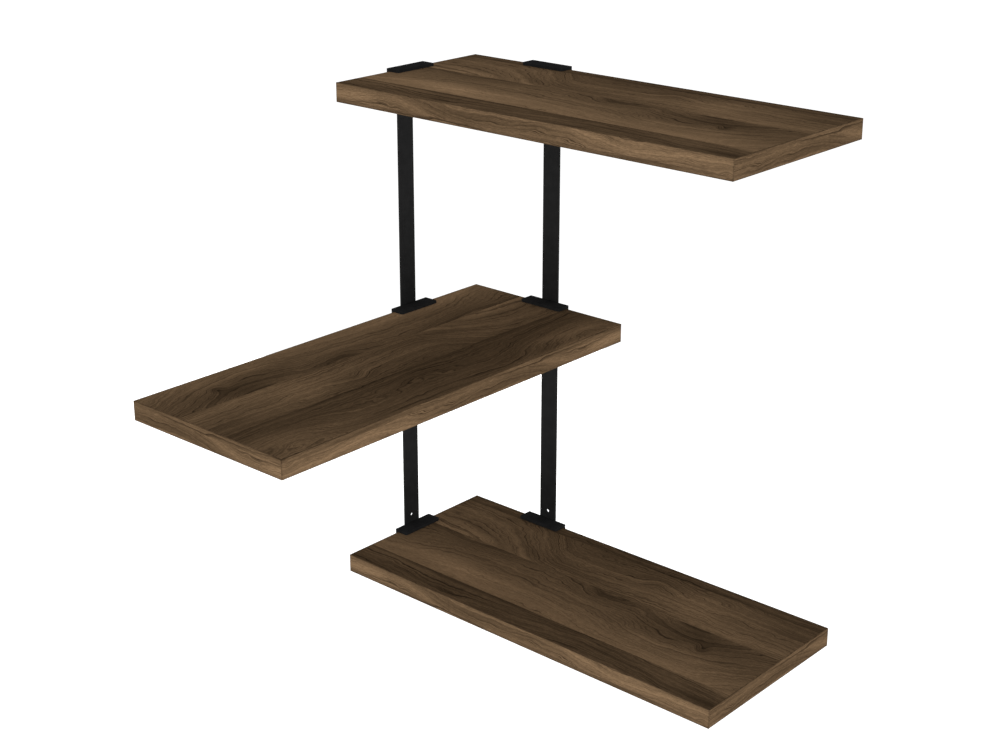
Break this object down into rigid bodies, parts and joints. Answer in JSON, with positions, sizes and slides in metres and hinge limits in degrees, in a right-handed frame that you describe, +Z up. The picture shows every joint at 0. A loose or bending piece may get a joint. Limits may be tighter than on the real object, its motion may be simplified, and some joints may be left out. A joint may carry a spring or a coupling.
{
  "type": "corner wall shelf",
  "caption": "Tiered corner wall shelf: walnut-finish boards, the middle one turned, held in U-shaped clips on two black steel wall strips.",
  "frame": {"origin": "room corner, where the two walls meet, at the height of the lowest clips' undersides", "axes": "+Z up; the right wall is the plane Y = 0 and the room lies towards -Y; the left wall is the plane X = 0 and the room lies towards +X"},
  "size_m": [0.607, 0.607, 0.689],
  "materials": {
    "walnut_decor": "satin dark walnut decor",
    "edge_band": "satin walnut edge band",
    "black_steel": "matt black powder coat",
    "screw_steel": "black oxide"
  },
  "bodies": {
    "root": {"left_strip": "black_steel", "left_welds": "black_steel", "left_bottom_clip": "black_steel", "left_middle_clip": "black_steel", "left_top_clip": "black_steel", "right_strip": "black_steel", "right_welds": "black_steel", "right_bottom_clip": "black_steel", "right_middle_clip": "black_steel", "right_top_clip": "black_steel", "bottom_board": "walnut_decor", "bottom_front_band": "edge_band", "bottom_back_band": "edge_band", "bottom_wall_end_band": "edge_band", "bottom_free_end_band": "edge_band", "middle_board": "walnut_decor", "middle_front_band": "edge_band", "middle_back_band": "edge_band", "middle_wall_end_band": "edge_band", "middle_free_end_band": "edge_band", "top_board": "walnut_decor", "top_front_band": "edge_band", "top_back_band": "edge_band", "top_wall_end_band": "edge_band", "top_free_end_band": "edge_band", "shelf_screws": "screw_steel"}
  },
  "joints": []
}
